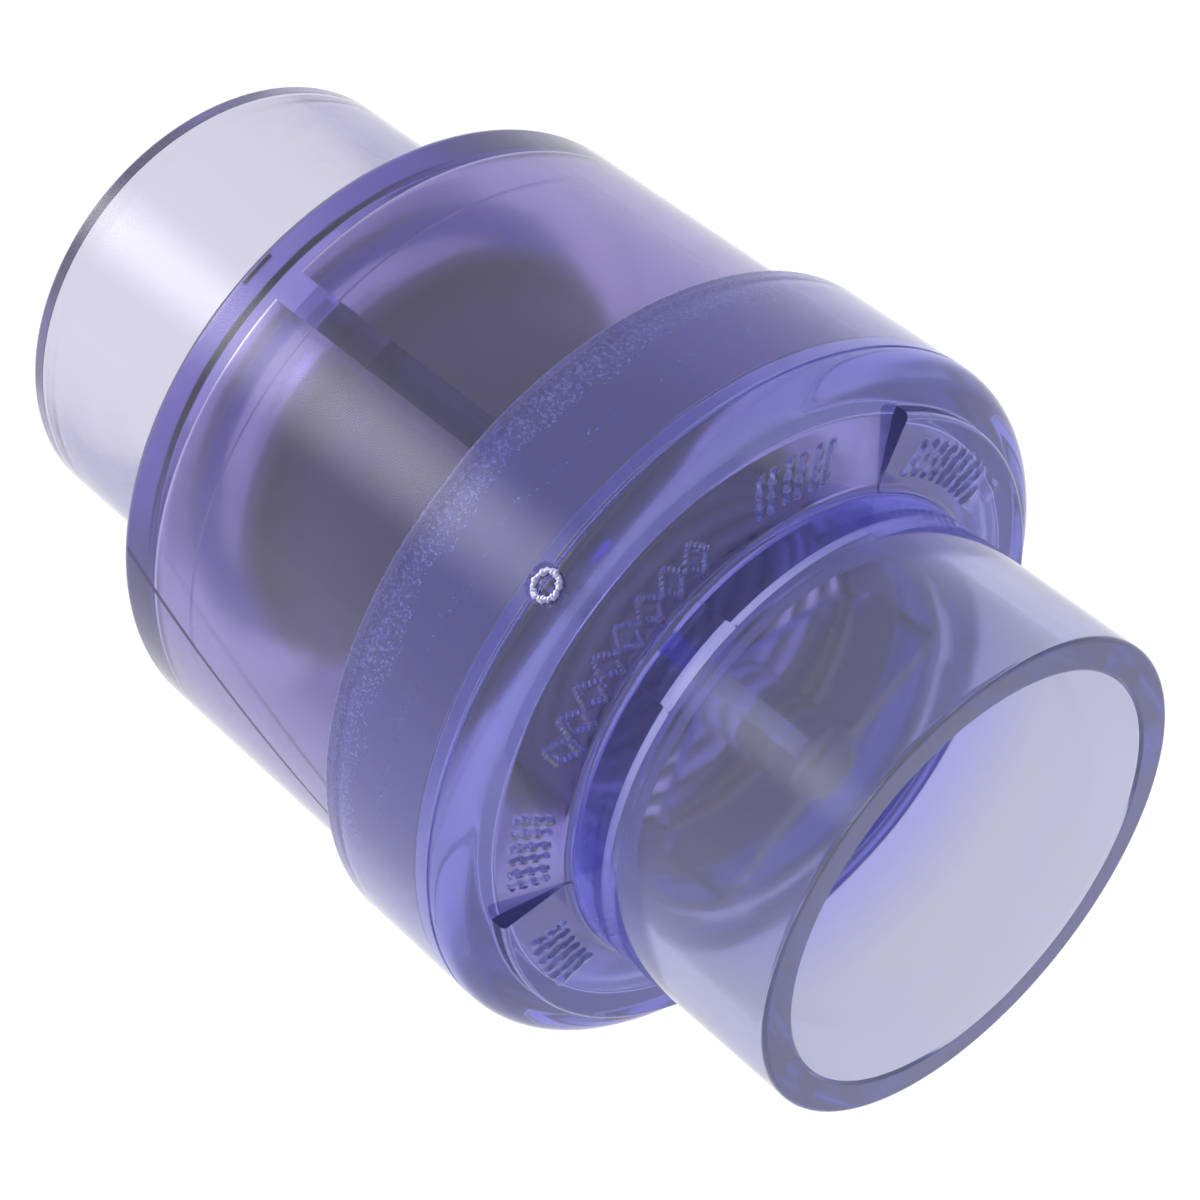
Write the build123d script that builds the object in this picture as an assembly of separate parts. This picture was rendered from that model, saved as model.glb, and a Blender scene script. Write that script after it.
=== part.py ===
"""Spring check valve for 2-inch plastic pipe, with a clear two-piece body and a spring-loaded poppet.

The flow axis is X: water enters at the -X socket and leaves at the +X socket. +Z is up and the origin is
the middle of the valve on its flow axis. All sizes are in millimetres.
"""
from build123d import *
import os

# ---- body lengths along the flow axis, from the outlet face back to the inlet face ----
NECK_LENGTH = 35.0            # outlet socket that stands clear of the domed end
DOME_RISE = 3.6               # how far the sloping end falls back from the neck to the collar's corner
COLLAR_LENGTH = 24.5          # the thick band, shoulder rounding included
BARREL_LENGTH = 48.9          # barrel seen between the collar and the end wall
STUB_LENGTH = 41.0            # inlet socket that stands clear of the end wall

# ---- body diameters and walls ----
SOCKET_OD = 70.0
SOCKET_BORE = 60.5            # takes pipe of 60.3 outside diameter
SOCKET_STRAIGHT = 21.0        # length of the socket before its grip taper
SOCKET_TAPER = 0.12           # how much the radius closes over the tapered part
MOUTH_CHAMFER = 0.4
INLET_SOCKET_DEPTH = 36.0
OUTLET_SOCKET_DEPTH = 28.6
FLOW_BORE = 52.0
BARREL_OD = 96.4
BARREL_WALL = 4.7
END_WALL = 4.6
COLLAR_WALL = 3.35            # around the barrel's spigot
DOME_WALL = 4.5
JOINT_OVERLAP = 17.0          # how far the barrel's spigot runs into the collar
JOINT_CLEARANCE = 0.05
SPIGOT_GAP = 0.2              # left between the spigot's end and the collar's inner shoulder
CORE_STEP = 0.2               # small step that the mould core leaves in the barrel's bore
CORE_STEP_LENGTH = 8.6        # from the end wall's inner face to that step

# ---- edge roundings ----
RIM_ROUND = 0.6
NECK_ROUND = 1.2
SHOULDER_ROUND = 4.0
COLLAR_ROUND = 0.8
BARREL_ROUND = 1.6
STUB_ROUND = 1.0

# ---- features on the outside of the cap ----
CAP_TURN = 125.0              # how far the cap is turned about the flow axis, from +Y towards +Z
PAD_WIDTH = 11.0              # flat pad on the sloping end, outwards from the outlet socket
PAD_SWEEP = 238.0             # the pad goes round this much; the rest shows the slope
PAD_ROUND = 0.8
PARTING_WIDTH = 0.5
PARTING_DEPTH = 0.25
PARTING_OFFSET = 3.3          # from the shoulder's corner to the mould's parting line
GATE_RADIUS = 2.3             # round mark where the mould was filled
GATE_DEPTH = 0.35
GATE_STUB_RADIUS = 1.1
GATE_TURN = 4.0               # gate mark's angle past the cap's own turn

# ---- seat and guide ribs in the barrel ----
SEAT_WIDTH = 3.0              # from the flow bore to the seat's outer edge
SEAT_HEIGHT = 1.5
RIB_COUNT = 3
RIB_TURN = 117.4
RIB_THICKNESS = 4.6
RIB_CLEARANCE = 0.3           # between the ribs and the poppet's skirt
RIB_END_GAP = 4.0             # from the collar's rear edge to the ribs' outlet end
HEAD_CLEARANCE = 1.0          # between the ribs' low part and the poppet's head
EMBED = 0.5                   # how far an added feature runs into the wall it grows from

# ---- poppet ----
LIFT = 8.4                    # travel from the seat to the ribs' steps
STOP_GAP = 0.2
SEAT_GAP = 0.1
HEAD_MARGIN = 2.0             # how far the poppet's head stands out past its seal
HEAD_THICKNESS = 3.0
HEAD_LIP = 3.2                # how far the head stands out past the skirt
SKIRT_WALL = 2.5
SKIRT_LENGTH = 40.8
BOSS_RADIUS = 8.9
INNER_BOSS_RADIUS = 7.0
INNER_BOSS_LENGTH = 8.0
SEAL_MARGIN = 2.0             # how far the seal stands out past the seat
SEAL_THICKNESS = 2.0
SEAL_FIT = 0.1                # between the seal's hole and the boss
RETAINER_GAP = 1.5            # between the retainer and the flow bore
RETAINER_THICKNESS = 2.5
SCREW_RADIUS = 2.5
SCREW_FIT = 0.05
SCREW_HEAD_RADIUS = 5.0
SCREW_HEAD_HEIGHT = 3.2
SCREW_LENGTH = 14.0
SOCKET_KEY = 4.0              # across the flats of the screw's hexagon socket
SOCKET_KEY_DEPTH = 2.0
WASHER_RADIUS = 6.5
WASHER_THICKNESS = 0.8

# ---- spring and its seats ----
WIRE = 1.6
SPRING_SIDE_GAP = 2.7         # between the wire and the inside of the skirt
SPRING_PITCH = 3.7
SPRING_FIT = 0.1
SPRING_SEAT_THICKNESS = 1.0
SPRING_SEAT_WIDTH = 5.0

# ---- spider that carries the spring in the outlet neck ----
WEB_COUNT = 3
SPIDER_FIT = 0.1
LEDGE_STEP = 1.5              # how far the ledge stands back from the flow bore
LEDGE_THICKNESS = 2.4
SPIDER_WIDTH = 4.4            # of the spider's ring, outwards from the flow bore
RING_LENGTH = 6.4
WEB_THICKNESS = 3.0
WEB_SEAT_LENGTH = 5.5         # from the ring's inlet face to the face that the spring bears on
WEB_TOOTH = 3.0               # how far the webs reach inside the spring to centre it
HUB_RADIUS = 5.5
HUB_FRONT = 5.1               # from the ring's outlet face to the hub's straight end
NOSE_LENGTH = 2.6
LUG_WIDTH = 12.0
LUG_HEIGHT = 2.0
LUG_LENGTH = 5.0

# ---- cement bead at the joint ----
BEAD_HEIGHT = 1.2
BEAD_LENGTH = 1.4

# ---- radii and stations worked out from the sizes above ----
SOCKET_R = SOCKET_OD / 2
BORE_R = SOCKET_BORE / 2
FLOW_R = FLOW_BORE / 2
BARREL_R = BARREL_OD / 2
CAVITY_R = BARREL_R - BARREL_WALL
JOINT_R = BARREL_R + JOINT_CLEARANCE
COLLAR_R = JOINT_R + COLLAR_WALL
PAD_RADIUS = SOCKET_R + PAD_WIDTH
SEAT_RADIUS = FLOW_R + SEAT_WIDTH
SEAL_RADIUS = SEAT_RADIUS + SEAL_MARGIN
HEAD_RADIUS = SEAL_RADIUS + HEAD_MARGIN
SKIRT_R = HEAD_RADIUS - HEAD_LIP
RETAINER_RADIUS = FLOW_R - RETAINER_GAP
SPRING_RADIUS = SKIRT_R - SKIRT_WALL - SPRING_SIDE_GAP - WIRE / 2
LEDGE_RADIUS = FLOW_R + LEDGE_STEP
SPIDER_RADIUS = FLOW_R + SPIDER_WIDTH
SLOPE = DOME_RISE / (COLLAR_R - SOCKET_R)

OUTLET_FACE = (NECK_LENGTH + DOME_RISE + COLLAR_LENGTH + BARREL_LENGTH + STUB_LENGTH) / 2
NECK_ROOT = OUTLET_FACE - NECK_LENGTH
SHOULDER = NECK_ROOT - DOME_RISE
COLLAR_REAR = SHOULDER - COLLAR_LENGTH
BARREL_END = COLLAR_REAR - BARREL_LENGTH
INLET_FACE = BARREL_END - STUB_LENGTH
JOINT_STOP = COLLAR_REAR + JOINT_OVERLAP
SPIGOT_END = JOINT_STOP - SPIGOT_GAP

END_INNER = BARREL_END + END_WALL
SEAT_FACE = END_INNER + SEAT_HEIGHT
SEAL_FACE = SEAT_FACE + SEAT_GAP
HEAD_FRONT = SEAL_FACE + SEAL_THICKNESS
HEAD_BACK = HEAD_FRONT + HEAD_THICKNESS
SKIRT_RIM = HEAD_BACK + SKIRT_LENGTH
RIB_STEP = HEAD_BACK + LIFT + STOP_GAP
RIB_END = COLLAR_REAR - RIB_END_GAP

LEDGE_BACK = OUTLET_FACE - OUTLET_SOCKET_DEPTH - LEDGE_THICKNESS
RING_FRONT = LEDGE_BACK - SPIDER_FIT
RING_BACK = RING_FRONT - RING_LENGTH
SPRING_FACE = RING_BACK - WEB_SEAT_LENGTH


def turned(outline, sweep=360.0):
    """Solid of revolution about X from (x, radius, corner rounding) points, listed in order."""
    face = make_face(Polyline([(x, r) for x, r, _ in outline], close=True))
    for x, r, rounding in outline:
        if rounding:
            corner = face.vertices().sort_by_distance((x, r))[0]
            face = fillet(corner, rounding)
    return revolve(face, Axis.X, sweep)


def rod(x_from, x_to, radius, rounding=0.0):
    """Round bar on the flow axis, with its x_to end rounded if asked."""
    return turned([(x_from, 0, 0), (x_from, radius, 0), (x_to, radius, rounding), (x_to, 0, 0)])


def ring(x_from, x_to, inner, outer):
    """Plain ring on the flow axis."""
    return turned([(x_from, inner, 0), (x_from, outer, 0), (x_to, outer, 0), (x_to, inner, 0)])


def around(piece, count, start):
    """The piece, drawn on the +Y side, repeated evenly about the flow axis from a start angle."""
    return [Rot(X=start + 360.0 / count * i) * piece for i in range(count)]


def fin(points, thickness):
    """Flat plate in the XY plane through (x, radius) points, centred on that plane."""
    return extrude(make_face(Polyline(points, close=True)), thickness / 2, both=True)


def block(x_from, x_to, inner, outer, width):
    """Box on the +Y side, from radius inner to outer, as wide as width across Z."""
    middle = ((x_from + x_to) / 2, (inner + outer) / 2, 0)
    return Pos(*middle) * Box(abs(x_to - x_from), outer - inner, width)


def slope_x(radius):
    """Place along X of the sloping end's outer face at a radius."""
    return NECK_ROOT - (radius - SOCKET_R) * SLOPE


def pipe_socket(face, inward, depth):
    """Space inside a pipe socket: mouth chamfer, straight bore, then the slight grip taper."""
    straight_end = face + inward * SOCKET_STRAIGHT
    bottom = face + inward * depth
    return turned([
        (face, 0, 0),
        (face, BORE_R + MOUTH_CHAMFER, 0),
        (face + inward * MOUTH_CHAMFER, BORE_R, 0),
        (straight_end, BORE_R, 0),
        (bottom, BORE_R - SOCKET_TAPER, 0),
        (bottom, 0, 0),
    ])


def inlet_body():
    """Inlet socket, end wall with the valve seat, barrel with its guide ribs, and the joint's spigot."""
    shell = turned([
        (INLET_FACE, 0, 0),
        (INLET_FACE, SOCKET_R, RIM_ROUND),
        (BARREL_END, SOCKET_R, STUB_ROUND),
        (BARREL_END, BARREL_R, BARREL_ROUND),
        (SPIGOT_END, BARREL_R, 0),
        (SPIGOT_END, 0, 0),
    ])
    core_step = END_INNER + CORE_STEP_LENGTH
    cavity = turned([
        (END_INNER, 0, 0),
        (END_INNER, CAVITY_R - CORE_STEP, 0),
        (core_step, CAVITY_R - CORE_STEP, 0),
        (core_step, CAVITY_R, 0),
        (SPIGOT_END, CAVITY_R, 0),
        (SPIGOT_END, 0, 0),
    ])
    seat = ring(END_INNER - EMBED, SEAT_FACE, FLOW_R - EMBED, SEAT_RADIUS)
    socket = pipe_socket(INLET_FACE, 1, INLET_SOCKET_DEPTH)
    flow = rod(INLET_FACE, SEAT_FACE, FLOW_R)
    body = shell - cavity + seat - socket - flow
    for rib in around(guide_rib(), RIB_COUNT, RIB_TURN):
        body += rib
    return body


def guide_rib():
    """One rib: low beside the poppet's head, then stepped in to guide the skirt and stop the lift."""
    guide_r = SKIRT_R + RIB_CLEARANCE
    low_r = HEAD_RADIUS + HEAD_CLEARANCE
    root_r = CAVITY_R + EMBED
    return fin([
        (END_INNER - EMBED, root_r),
        (END_INNER - EMBED, low_r),
        (RIB_STEP, low_r),
        (RIB_STEP, guide_r),
        (RIB_END, guide_r),
        (RIB_END, root_r),
    ], RIB_THICKNESS)


def outlet_cap():
    """Outlet socket, sloping end with its flat pad, and the collar that takes the barrel's spigot."""
    shell = turned([
        (OUTLET_FACE, 0, 0),
        (OUTLET_FACE, SOCKET_R, RIM_ROUND),
        (NECK_ROOT, SOCKET_R, NECK_ROUND),
        (SHOULDER, COLLAR_R, SHOULDER_ROUND),
        (COLLAR_REAR, COLLAR_R, COLLAR_ROUND),
        (COLLAR_REAR, 0, 0),
    ])
    parting = SHOULDER - PARTING_OFFSET
    groove = ring(parting - PARTING_WIDTH, parting, COLLAR_R - PARTING_DEPTH, COLLAR_R + EMBED)
    cap = shell + end_pad() - groove - gate_mark()
    cap -= pipe_socket(OUTLET_FACE, -1, OUTLET_SOCKET_DEPTH)
    cap -= cap_cavity()
    for slot in around(lug_slot(), WEB_COUNT, CAP_TURN):
        cap -= slot
    return cap


def end_pad():
    """Flat pad that levels most of the sloping end."""
    pad = turned([
        (NECK_ROOT, SOCKET_R - EMBED, 0),
        (NECK_ROOT, PAD_RADIUS, PAD_ROUND),
        (slope_x(PAD_RADIUS) - EMBED, PAD_RADIUS, 0),
        (slope_x(PAD_RADIUS) - EMBED, SOCKET_R - EMBED, 0),
    ], PAD_SWEEP)
    return Rot(X=CAP_TURN + (360.0 - PAD_SWEEP) / 2) * pad


def gate_mark():
    """Shallow round recess with a stub in its middle, on the shoulder's parting line."""
    place = Pos(SHOULDER - PARTING_OFFSET, COLLAR_R, 0) * Rot(X=-90)
    dish = Cylinder(GATE_RADIUS, 2 * GATE_DEPTH) - Cylinder(GATE_STUB_RADIUS, 2 * GATE_DEPTH)
    return Rot(X=CAP_TURN + GATE_TURN) * place * dish


def cap_cavity():
    """Space inside the cap: ledge, spider pocket, room under the sloping end, and the joint's bore."""
    pocket_r = SPIDER_RADIUS + SPIDER_FIT
    return turned([
        (OUTLET_FACE, 0, 0),
        (OUTLET_FACE, LEDGE_RADIUS, 0),
        (LEDGE_BACK, LEDGE_RADIUS, 0),
        (LEDGE_BACK, pocket_r, 0),
        (slope_x(pocket_r) - DOME_WALL, pocket_r, 0),
        (slope_x(CAVITY_R) - DOME_WALL, CAVITY_R, 0),
        (JOINT_STOP, CAVITY_R, 0),
        (JOINT_STOP, JOINT_R, 0),
        (COLLAR_REAR, JOINT_R, 0),
        (COLLAR_REAR, 0, 0),
    ])


def lug_slot():
    """Room for one of the spider's lugs, open towards the inlet."""
    outer = SPIDER_RADIUS + LUG_HEIGHT + SPIDER_FIT
    back = slope_x(outer) - DOME_WALL - EMBED
    return block(LEDGE_BACK, back, LEDGE_RADIUS, outer, LUG_WIDTH + 2 * SPIDER_FIT)


def joint_bead():
    """Cement squeezed out where the barrel enters the collar."""
    return turned([
        (COLLAR_REAR, BARREL_R, 0),
        (COLLAR_REAR, BARREL_R + BEAD_HEIGHT, 0),
        (COLLAR_REAR - BEAD_LENGTH, BARREL_R, 0),
    ])


def spring_spider():
    """Ring with three webs and a hub, which holds the spring's outlet end in the neck."""
    spider = ring(RING_BACK, RING_FRONT, FLOW_R, SPIDER_RADIUS)
    hub_front = RING_FRONT + HUB_FRONT
    tooth_end = SPRING_FACE - WEB_TOOTH
    spider += turned([
        (tooth_end, 0, 0),
        (tooth_end, HUB_RADIUS, 0),
        (hub_front + NOSE_LENGTH, HUB_RADIUS, NOSE_LENGTH),
        (hub_front + NOSE_LENGTH, 0, 0),
    ])
    lug = block(RING_FRONT, RING_FRONT - LUG_LENGTH, FLOW_R + EMBED, SPIDER_RADIUS + LUG_HEIGHT, LUG_WIDTH)
    for piece in around(spider_web(hub_front, tooth_end), WEB_COUNT, CAP_TURN):
        spider += piece
    for piece in around(lug, WEB_COUNT, CAP_TURN):
        spider += piece
    return spider


def spider_web(hub_front, tooth_end):
    """One web: sloping outlet edge, spring bearing face, and a tooth that centres the spring."""
    spring_inner = SPRING_RADIUS - WIRE / 2
    return fin([
        (hub_front, 0),
        (hub_front, HUB_RADIUS),
        (RING_FRONT, FLOW_R + EMBED),
        (RING_BACK, FLOW_R + EMBED),
        (SPRING_FACE, FLOW_R - EMBED),
        (SPRING_FACE, spring_inner - RIB_CLEARANCE),
        (tooth_end, spring_inner - RIB_CLEARANCE - EMBED),
        (tooth_end, 0),
    ], WEB_THICKNESS)


def poppet_cup():
    """Head that closes the seat, with the skirt that slides in the ribs and holds the spring."""
    boss_front = HEAD_FRONT - SEAL_THICKNESS
    cup = rod(HEAD_FRONT, HEAD_BACK, HEAD_RADIUS)
    cup += ring(HEAD_BACK - EMBED, SKIRT_RIM, SKIRT_R - SKIRT_WALL, SKIRT_R)
    cup += rod(boss_front, HEAD_FRONT + EMBED, BOSS_RADIUS)
    cup += rod(HEAD_BACK - EMBED, HEAD_BACK + INNER_BOSS_LENGTH, INNER_BOSS_RADIUS)
    hole_end = washer_back() + SCREW_LENGTH + SCREW_FIT
    return cup - rod(boss_front, hole_end, SCREW_RADIUS + SCREW_FIT)


def poppet_seal():
    """Flat rubber ring that meets the seat."""
    return ring(SEAL_FACE, SEAL_FACE + SEAL_THICKNESS, BOSS_RADIUS + SEAL_FIT, SEAL_RADIUS)


def retainer_front():
    """Inlet face of the seal's retainer."""
    return SEAL_FACE - RETAINER_THICKNESS


def seal_retainer():
    """Disc that clamps the seal to the poppet."""
    disc = ring(retainer_front(), SEAL_FACE, SCREW_RADIUS + SCREW_FIT, RETAINER_RADIUS)
    rim = disc.edges().filter_by(GeomType.CIRCLE).sort_by(Axis.X)
    outer_rim = [edge for edge in rim if edge.radius > BOSS_RADIUS][0]
    return fillet(outer_rim, RETAINER_THICKNESS / 3)


def washer_back():
    """Face of the screw's head, where its shank starts."""
    return retainer_front() - WASHER_THICKNESS


def screw_washer():
    """Flat washer under the screw's head."""
    return ring(washer_back(), retainer_front(), SCREW_RADIUS + SCREW_FIT, WASHER_RADIUS)


def retainer_screw():
    """Hexagon-socket screw that holds the retainer and seal on the poppet."""
    head_top = washer_back() - SCREW_HEAD_HEIGHT
    screw = rod(washer_back(), head_top, SCREW_HEAD_RADIUS, SCREW_HEAD_HEIGHT / 3)
    screw += rod(washer_back() - EMBED, washer_back() + SCREW_LENGTH, SCREW_RADIUS, SCREW_RADIUS / 4)
    key = extrude(Plane(origin=(head_top, 0, 0), z_dir=(1, 0, 0))
                  * RegularPolygon(SOCKET_KEY / 2, 6, major_radius=False), SOCKET_KEY_DEPTH)
    return screw - key


def spring_seat():
    """Steel ring on the floor of the poppet, under the spring."""
    half = SPRING_SEAT_WIDTH / 2
    return ring(HEAD_BACK, HEAD_BACK + SPRING_SEAT_THICKNESS, SPRING_RADIUS - half, SPRING_RADIUS + half)


def spring():
    """Open-ended compression spring between the poppet's floor and the spider's webs."""
    start = HEAD_BACK + SPRING_SEAT_THICKNESS + WIRE / 2 + SPRING_FIT
    height = SPRING_FACE - SPRING_FIT - WIRE / 2 - start
    path = Helix(SPRING_PITCH, height, SPRING_RADIUS, center=(start, 0, 0), direction=(1, 0, 0))
    section = Plane(origin=path @ 0, z_dir=path % 0) * Circle(WIRE / 2)
    return sweep(section, path=path, is_frenet=True)


PIECES = {
    "inlet_body": inlet_body,
    "outlet_cap": outlet_cap,
    "joint_bead": joint_bead,
    "spring_spider": spring_spider,
    "poppet_cup": poppet_cup,
    "poppet_seal": poppet_seal,
    "seal_retainer": seal_retainer,
    "screw_washer": screw_washer,
    "retainer_screw": retainer_screw,
    "spring_seat": spring_seat,
    "spring": spring,
}

os.makedirs("parts", exist_ok=True)
for name, make in PIECES.items():
    export_step(make(), f"parts/{name}.step")
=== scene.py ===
"""Clear in-line spring check valve for 2-inch plastic pipe: finished surfaces, materials, light and camera.

The flow axis is X, +Z is up, and the origin is the middle of the valve on its flow axis. Sizes are held in
millimetres and turned to metres when a mesh is made. Angles about the flow axis run from +Y towards +Z.
"""

import logging
import math
from dataclasses import dataclass
from enum import Enum
from typing import Any, Optional, Sequence

import bpy
import numpy as np
from mathutils import Matrix, Vector


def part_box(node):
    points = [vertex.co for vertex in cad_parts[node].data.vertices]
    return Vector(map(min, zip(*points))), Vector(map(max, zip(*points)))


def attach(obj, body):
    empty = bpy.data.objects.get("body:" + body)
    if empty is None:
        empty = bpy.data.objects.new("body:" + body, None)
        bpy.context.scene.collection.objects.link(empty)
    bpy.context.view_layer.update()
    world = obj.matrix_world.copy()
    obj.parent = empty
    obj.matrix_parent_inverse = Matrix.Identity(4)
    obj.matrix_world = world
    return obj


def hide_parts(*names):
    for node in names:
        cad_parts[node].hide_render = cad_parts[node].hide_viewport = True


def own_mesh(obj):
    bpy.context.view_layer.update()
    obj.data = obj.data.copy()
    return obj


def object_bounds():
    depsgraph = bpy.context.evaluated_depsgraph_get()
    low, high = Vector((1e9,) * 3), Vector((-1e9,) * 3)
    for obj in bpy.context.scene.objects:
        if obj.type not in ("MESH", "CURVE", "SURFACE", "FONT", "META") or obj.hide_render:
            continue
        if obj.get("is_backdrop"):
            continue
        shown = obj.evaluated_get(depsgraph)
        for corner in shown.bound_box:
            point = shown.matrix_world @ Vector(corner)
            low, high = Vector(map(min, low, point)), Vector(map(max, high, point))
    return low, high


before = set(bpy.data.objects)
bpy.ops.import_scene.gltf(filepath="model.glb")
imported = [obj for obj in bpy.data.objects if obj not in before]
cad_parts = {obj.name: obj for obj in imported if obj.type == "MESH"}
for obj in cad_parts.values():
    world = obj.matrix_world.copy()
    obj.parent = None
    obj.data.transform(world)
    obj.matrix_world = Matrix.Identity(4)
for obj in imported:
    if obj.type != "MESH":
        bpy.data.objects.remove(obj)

MM = 0.001
VALVE = "valve_body"
POPPET = "poppet"
Array = np.ndarray
Socket = bpy.types.NodeSocket
log = logging.getLogger("check_valve")

GUARD_MM = 0.25              # from each end of a straight side to the point that keeps its shading flat
ARC_STEP_DEG = 11.0          # between the points of a rounding
TINY_ROUNDING_MM = 0.2       # up to this radius a rounding can't be seen as one
TINY_ARC_STEP_DEG = 30.0
FLOOR_GAP_M = 0.0002         # between the valve and the table


# ---------------------------------------------------------------- profiles and grids


@dataclass(frozen=True)
class Corner:
    """One corner of a profile: its place along the flow axis, its radius from it and its rounding, in mm."""

    x: float
    r: float
    rounding: float = 0.0


def span(node: str) -> tuple[float, float]:
    """Where a CAD node starts and ends along the flow axis, in mm."""
    low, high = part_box(node)
    return low.x / MM, high.x / MM


def steps(start: float, end: float, count: int) -> Array:
    """Evenly spaced numbers from start up to, and without, end."""
    return np.linspace(start, end, count, endpoint=False)


def corner_cut(before: Array, corner: Corner, after: Array) -> tuple[Array, Array, Array, float]:
    """Where a corner's rounding meets its two straight sides.

    Formula: with the angle a between the sides, the arc touches each side rounding / tan(a / 2) from the
    corner, and its centre lies on the bisector, rounding / sin(a / 2) from the corner.

    Args:
        before: the previous corner's (x, r).
        corner: the corner itself.
        after: the next corner's (x, r).

    Returns:
        The arc's start, its end, its centre, and the angle it turns through.
    """
    here = np.array([corner.x, corner.r])
    back, ahead = before - here, after - here
    back, ahead = back / np.linalg.norm(back), ahead / np.linalg.norm(ahead)
    angle = math.acos(float(np.clip(back @ ahead, -1.0, 1.0)))
    if corner.rounding <= 0 or angle > math.pi - 1e-3:
        return here, here, here, 0.0
    cut = corner.rounding / math.tan(angle / 2)
    middle = back + ahead
    centre = here + middle / np.linalg.norm(middle) * corner.rounding / math.sin(angle / 2)
    return here + back * cut, here + ahead * cut, centre, math.pi - angle


def straight(start: Array, end: Array, step: float, count: Optional[int]) -> Array:
    """Points on a straight side from start up to, and without, end.

    Formula: count even steps; with no count, even steps of about the given length, with one more point
    just inside each end so that shading stays flat right up to a rounding.
    """
    length = float(np.linalg.norm(end - start))
    if length < 1e-6:
        return np.zeros((0, 2))
    if count is not None:
        t = steps(0.0, 1.0, count)
    else:
        t = steps(0.0, 1.0, max(1, math.ceil(length / step)))
        guard = min(GUARD_MM, length / 3) / length
        t = np.unique(np.concatenate([t, [guard, 1.0 - guard]]))
    return start + t[:, None] * (end - start)


def arc(start: Array, end: Array, centre: Array, turn: float, count: Optional[int]) -> Array:
    """Points on a rounding from start up to, and without, end.

    Formula: the start turned about the centre in even steps, which are coarser on a rounding too small to
    be seen as one.
    """
    if turn == 0.0:
        return np.zeros((0, 2))
    first, last = start - centre, end - centre
    side = 1.0 if first[0] * last[1] - first[1] * last[0] > 0 else -1.0
    step_deg = ARC_STEP_DEG if np.hypot(*first) > TINY_ROUNDING_MM else TINY_ARC_STEP_DEG
    a = steps(0.0, side * turn, count or max(3, math.ceil(math.degrees(turn) / step_deg)))
    cos, sin = np.cos(a), np.sin(a)
    return centre + np.stack([first[0] * cos - first[1] * sin, first[0] * sin + first[1] * cos], 1)


def trace(corners: Sequence[Corner], step: float = 2.0, closed: bool = False,
          lines: Optional[Sequence[int]] = None, arcs: Optional[Sequence[int]] = None) -> Array:
    """A profile with rounded corners as a list of points.

    Formula: each corner's arc, then the straight run to the next corner's arc, in order.

    Args:
        corners: the profile's corners; the ends of an open profile have no rounding.
        step: longest wanted step on a straight run, in mm.
        closed: whether the last corner runs back to the first.
        lines: number of points on each straight run, where two profiles must match point by point.
        arcs: number of points on each inner corner's arc, for the same reason.

    Returns:
        An array of (x, r) rows. An open profile includes its last corner.
    """
    spots = [np.array([c.x, c.r]) for c in corners]
    n = len(corners)
    cuts = []
    for i, c in enumerate(corners):
        if closed or 0 < i < n - 1:
            cuts.append(corner_cut(spots[i - 1], c, spots[(i + 1) % n]))
        else:
            cuts.append((spots[i], spots[i], spots[i], 0.0))
    parts = []
    for i in range(n if closed else n - 1):
        start, end, centre, turn = cuts[i]
        parts.append(arc(start, end, centre, turn, arcs[i - 1] if arcs is not None and i > 0 else None))
        parts.append(straight(end, cuts[(i + 1) % n][0], step, lines[i] if lines is not None else None))
    if not closed:
        parts.append(spots[-1][None, :])
    return np.concatenate([p for p in parts if len(p)])


def turn_points(x: Array, r: Array, angle: Array) -> Array:
    """Points of a turned surface: (x, r cos angle, r sin angle) for each place of the grid."""
    return np.stack(np.broadcast_arrays(x, r * np.cos(angle), r * np.sin(angle)), -1)


def grid_mesh(name: str, points: Array, round_u: bool, round_v: bool, sharp_deg: float = 32.0,
              caps: bool = False, core: Optional[Array] = None) -> bpy.types.Object:
    """A mesh piece from a grid of points, in mm.

    Formula: each cell of the grid gives two triangles, wound so that a surface whose first parameter runs
    along +X on its outer side faces outwards. Points closer than a micron are joined and empty triangles
    dropped, so poles and pinched cells close up.

    Args:
        name: the piece's name.
        points: grid of shape (u, v, 3).
        round_u: whether the grid closes on itself along u.
        round_v: whether the grid closes on itself along v.
        sharp_deg: edges that turn more than this stay sharp.
        caps: whether both open ends along u are closed by a fan to their middle.
        core: for each row of the grid, how dull the mould left it, from 0 on the polished outside to 1
            where the core formed it, kept on the mesh as the attribute "core".

    Returns:
        The new object, linked to the scene.
    """
    if caps:
        ends = [np.broadcast_to(points[i].mean(0), points[i].shape)[None] for i in (0, -1)]
        points = np.concatenate([ends[0], points, ends[1]])
    nu, nv = points.shape[:2]
    flat = points.reshape(-1, 3)
    _, first, joined = np.unique(np.round(flat * 1000).astype(np.int64), axis=0, return_index=True,
                                 return_inverse=True)
    joined = joined.reshape(nu, nv)
    rows = np.arange(nu if round_u else nu - 1)
    cols = np.arange(nv if round_v else nv - 1)
    i, j = np.meshgrid(rows, cols, indexing="ij")
    i2, j2 = (i + 1) % nu, (j + 1) % nv
    a, b, c, d = joined[i, j], joined[i, j2], joined[i2, j2], joined[i2, j]
    tris = np.concatenate([np.stack([a, b, c], -1).reshape(-1, 3), np.stack([a, c, d], -1).reshape(-1, 3)])
    whole = (tris[:, 0] != tris[:, 1]) & (tris[:, 1] != tris[:, 2]) & (tris[:, 0] != tris[:, 2])
    piece = mesh_piece(name, flat[first], tris[whole], sharp_deg)
    if core is not None:
        kept = piece.data.attributes.new("core", "FLOAT", "POINT")
        kept.data.foreach_set("value", np.repeat(core, nv)[first].astype(np.float32))
    return piece


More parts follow.
